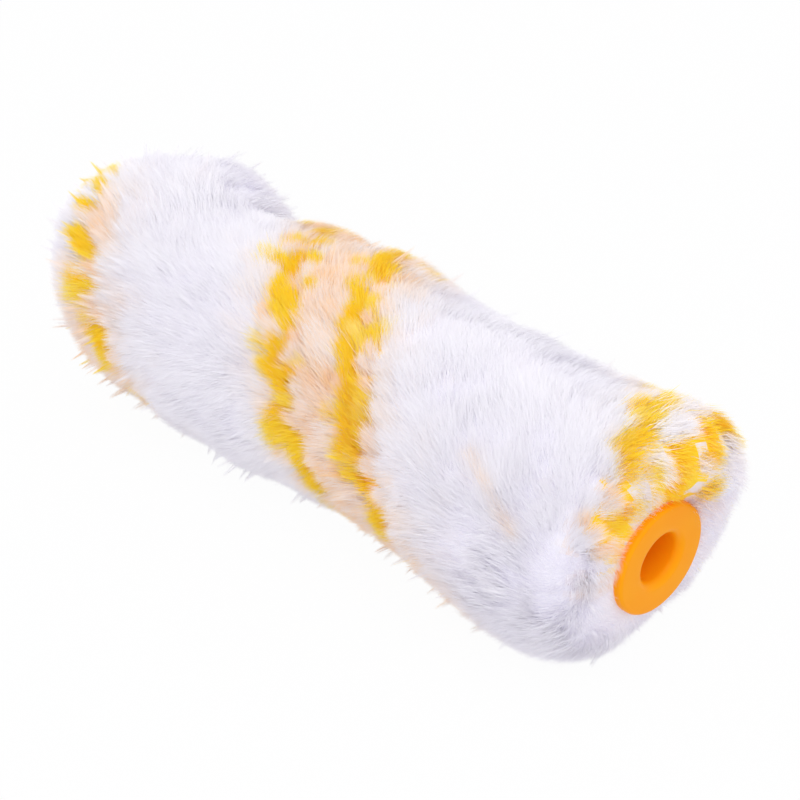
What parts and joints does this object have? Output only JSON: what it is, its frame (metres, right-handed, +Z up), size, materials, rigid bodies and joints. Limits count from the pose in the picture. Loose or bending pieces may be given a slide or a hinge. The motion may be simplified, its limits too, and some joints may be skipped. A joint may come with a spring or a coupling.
{
  "type": "paint roller refill cover",
  "caption": "Plush paint roller refill: white pile with wound yellow stripes on a plastic core, closed by orange flanged end caps with a through bore for the roller frame's wire.",
  "frame": {"origin": "on the surface that the roller lies on, under the middle of the sleeve", "axes": "+X along the roller's axis towards the cap that the picture shows, +Z up"},
  "size_m": [0.1036, 0.0385, 0.037],
  "materials": {
    "core": "extruded natural polypropylene",
    "cap": "moulded orange polyethylene, satin gloss",
    "backing": "knitted polyester backing",
    "white_pile": "white plush pile",
    "yellow_pile": "golden yellow plush pile"
  },
  "bodies": {
    "root": {"core_tube": "core", "near_end_cap": "cap", "far_end_cap": "cap", "backing_strip": "backing", "white_pile_wide": "white_pile", "white_pile_narrow": "white_pile", "yellow_pile_leading": "yellow_pile", "yellow_pile_trailing": "yellow_pile"}
  },
  "joints": []
}
